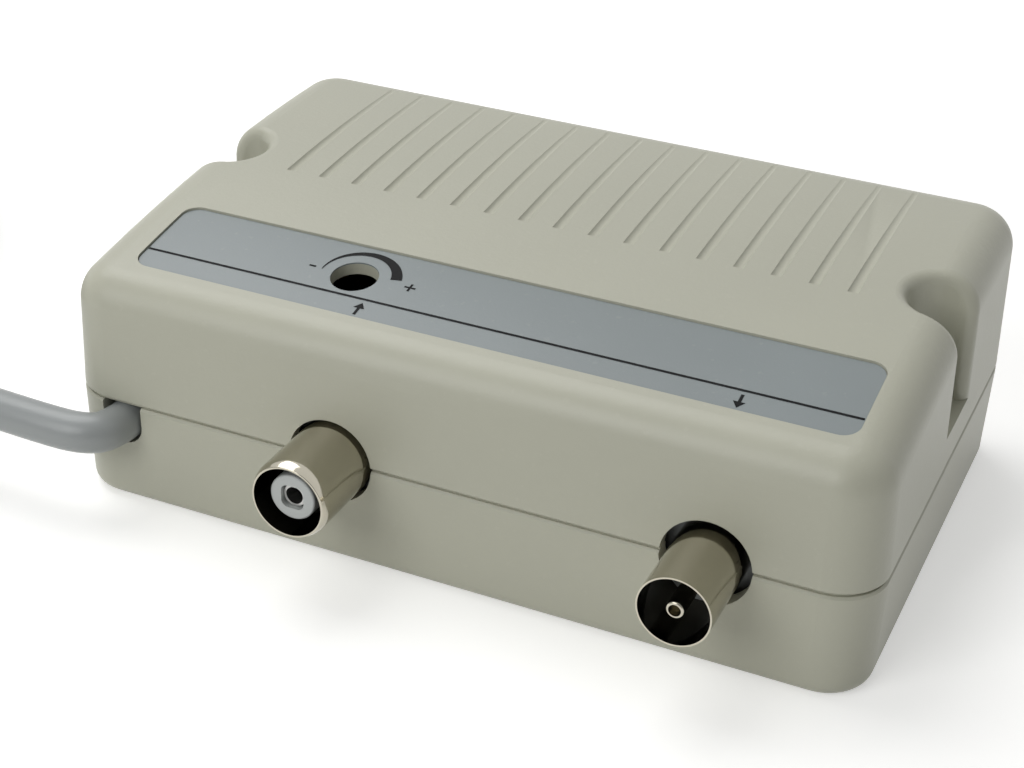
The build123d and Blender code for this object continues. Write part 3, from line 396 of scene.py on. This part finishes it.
def sleeve_finish(name, axis_x):
    """Bright nickel outside, with painted shade darkening the inner wall of the bore."""
    material = finish(
        name, nickel_color, roughness=0.13, mottle=0.04, grain=700, depth=0.006, metallic=1.0
    )
    nodes = material.node_tree.nodes
    links = material.node_tree.links
    shader = nodes["Principled BSDF"]
    plate = shader.inputs["Base Color"].links[0].from_socket
    bore = nodes.new("ShaderNodeGroup")
    bore.node_tree = bore_mask
    bore.inputs["Axis X"].default_value = axis_x * mm
    # Painted shade: the inner wall of the bore is mixed toward a dim grey brown, standing in for
    # the shade inside the sleeve.
    bore_painted_shade = nodes.new("ShaderNodeMix")
    bore_painted_shade.data_type = "RGBA"
    bore_painted_shade.inputs["B"].default_value = linear(84, 81, 74)
    links.new(bore.outputs["Inside"], bore_painted_shade.inputs["Factor"])
    links.new(plate, bore_painted_shade.inputs["A"])
    links.new(bore_painted_shade.outputs["Result"], shader.inputs["Base Color"])
    return material


dress(sleeve_finish("socket_sleeve", input_x), "input_socket_shell")
dress(sleeve_finish("plug_sleeve", output_x), "output_plug_shell")
dress(nickel, "output_plug_pin")
tinned = finish(
    "tinned_wire", linear(190, 190, 188), roughness=0.35, mottle=0.05, grain=900, metallic=1.0
)
dress(tinned, "input_socket_contact")
white_plastic = finish("white_moulding", linear(188, 192, 190), roughness=0.4)
dress(white_plastic, "input_socket_insulator", "output_plug_insulator")

# Screws: zinc-plated pan heads, four for the case, four for the board, two for the
# cord clamp.
zinc = finish(
    "zinc_plate", linear(168, 170, 172),
    roughness=0.38, mottle=0.08, grain=500, depth=0.05, metallic=1.0,
)
dress(zinc, "case_screws", "board_screws", "clamp_screws")

# Circuit board: brown paper laminate with its soldered leads.
laminate = finish(
    "board_laminate", linear(150, 112, 62), roughness=0.5, mottle=0.06, grain=400, depth=0.05
)
dress(laminate, "circuit_board")
dress(tinned, "component_leads", "winding_terminals", "gain_trimmer_terminals", "regulator_tab")

# Mains transformer: varnished steel laminations, black bobbin, enamelled windings.
laminations = finish(
    "laminations", linear(88, 88, 92),
    roughness=0.5, mottle=0.1, grain=3000, depth=0.1, metallic=0.6,
)
dress(laminations, "transformer_core")
copper = finish(
    "enamelled_copper", linear(168, 88, 40),
    roughness=0.3, mottle=0.08, grain=1200, depth=0.2, metallic=0.7,
)
dress(copper, "primary_winding", "secondary_winding", "ring_windings", "air_coils")
dress(black_plastic, "transformer_bobbin", "rectifier_diodes", "voltage_regulator",
      "signal_transistors")

# Supply parts: brown moulded fuse, sleeved capacitors and the two insulated cores.
brown_plastic = finish("brown_moulding", linear(96, 58, 36), roughness=0.45)
dress(brown_plastic, "mains_fuse", "mains_wire_live")
blue_plastic = finish("blue_moulding", linear(52, 96, 160), roughness=0.45)
dress(blue_plastic, "mains_wire_neutral", "gain_trimmer_body")
capacitor_sleeve = finish("capacitor_sleeve", linear(36, 44, 72), roughness=0.3)
dress(capacitor_sleeve, "reservoir_capacitor", "output_capacitor")

# Signal parts: lacquered ceramic capacitors and resistors, matt ferrite rings.
dress(finish("ceramic_lacquer", linear(196, 132, 60), roughness=0.4), "ceramic_capacitors")
dress(finish("resistor_lacquer", linear(196, 176, 136), roughness=0.4), "resistors")
ferrite = finish(
    "ferrite", linear(62, 62, 64), roughness=0.7, mottle=0.1, grain=900, depth=0.1
)
dress(ferrite, "ferrite_rings")

# Screening box: folded tinplate round the signal stage.
tinplate = finish(
    "tinplate", linear(116, 118, 118),
    roughness=0.45, mottle=0.06, grain=300, depth=0.05, metallic=1.0,
)
dress(tinplate, "shield_frame", "shield_lid", "shield_partition")

# Gain control: white rotor with a screwdriver slot, turned through the label's hole.
dress(white_plastic, "gain_trimmer_rotor")

# Table: plain pale top, and a white surround behind it.
table_reach = 3
table_glow = 0.42
floor_mesh = bpy.data.meshes.new("table_top")
floor_mesh.from_pydata(
    [(-table_reach, -table_reach, 0), (table_reach, -table_reach, 0),
     (table_reach, table_reach, 0), (-table_reach, table_reach, 0)],
    [], [(0, 1, 2, 3)],
)
table_top = bpy.data.objects.new("table_top", floor_mesh)
bpy.context.scene.collection.objects.link(table_top)
table_paint = bpy.data.materials.new("table_paint")
table_paint.use_nodes = True
table_shader = table_paint.node_tree.nodes["Principled BSDF"]
table_shader.inputs["Base Color"].default_value = linear(236, 236, 234)
table_shader.inputs["Roughness"].default_value = 0.6
table_shader.inputs["Emission Color"].default_value = linear(255, 255, 255)
table_nodes = table_paint.node_tree.nodes
table_links = table_paint.node_tree.links
table_ray = table_nodes.new("ShaderNodeLightPath")
table_direct = table_nodes.new("ShaderNodeMath")
table_direct.operation = "MAXIMUM"
table_links.new(table_ray.outputs["Is Camera Ray"], table_direct.inputs[0])
table_links.new(table_ray.outputs["Is Glossy Ray"], table_direct.inputs[1])
table_shown = table_nodes.new("ShaderNodeMath")
table_shown.operation = "MAXIMUM"
table_links.new(table_direct.outputs[0], table_shown.inputs[0])
table_links.new(table_ray.outputs["Is Transmission Ray"], table_shown.inputs[1])
table_white = table_nodes.new("ShaderNodeMath")
table_white.operation = "MULTIPLY"
table_white.inputs[1].default_value = table_glow
table_links.new(table_shown.outputs[0], table_white.inputs[0])
table_links.new(table_white.outputs[0], table_shader.inputs["Emission Strength"])
floor_mesh.materials.append(table_paint)

# Light: one large soft lamp high at the back left, a weaker one at the front left, and
# a pale surround that is darker in front, where polished metal mirrors it.
ambient_strength = 0.27
shown_strength = 1.0
front_strength = 0.25
world = bpy.data.worlds.new("surround")
world.use_nodes = True
bpy.context.scene.world = world
surround = world.node_tree.nodes["Background"]
surround.inputs["Color"].default_value = linear(250, 250, 250)
world_nodes = world.node_tree.nodes
world_links = world.node_tree.links
ray = world_nodes.new("ShaderNodeLightPath")
seen = world_nodes.new("ShaderNodeMath")
seen.operation = "MAXIMUM"
world_links.new(ray.outputs["Is Camera Ray"], seen.inputs[0])
world_links.new(ray.outputs["Is Transmission Ray"], seen.inputs[1])
bright = world_nodes.new("ShaderNodeMapRange")
bright.inputs["To Min"].default_value = ambient_strength
bright.inputs["To Max"].default_value = shown_strength
world_links.new(seen.outputs[0], bright.inputs["Value"])
direction = world_nodes.new("ShaderNodeTexCoord")
direction_parts = world_nodes.new("ShaderNodeSeparateXYZ")
world_links.new(direction.outputs["Generated"], direction_parts.inputs["Vector"])
mirrored = world_nodes.new("ShaderNodeMapRange")
mirrored.inputs["From Min"].default_value = -0.7
mirrored.inputs["From Max"].default_value = 0.1
mirrored.inputs["To Min"].default_value = front_strength
mirrored.inputs["To Max"].default_value = shown_strength
world_links.new(direction_parts.outputs["Y"], mirrored.inputs["Value"])
strength = world_nodes.new("ShaderNodeMix")
world_links.new(ray.outputs["Is Glossy Ray"], strength.inputs["Factor"])
world_links.new(bright.outputs["Result"], strength.inputs["A"])
world_links.new(mirrored.outputs["Result"], strength.inputs["B"])
world_links.new(strength.outputs["Result"], surround.inputs["Strength"])


def soft_lamp(name, place, power, size):
    """Square area lamp that points at the middle of the case."""
    lamp = bpy.data.lights.new(name, "AREA")
    lamp.energy = power
    lamp.size = size
    lamp_object = bpy.data.objects.new(name, lamp)
    lamp_object.location = place
    toward = Vector((0, 0, 0.02)) - Vector(place)
    lamp_object.rotation_euler = toward.to_track_quat("-Z", "Y").to_euler()
    bpy.context.scene.collection.objects.link(lamp_object)


soft_lamp("back_left_lamp", (-0.45, 0.2, 0.9), 5.2, 0.7)
soft_lamp("front_left_lamp", (-0.35, -0.85, 0.6), 4.2, 0.6)
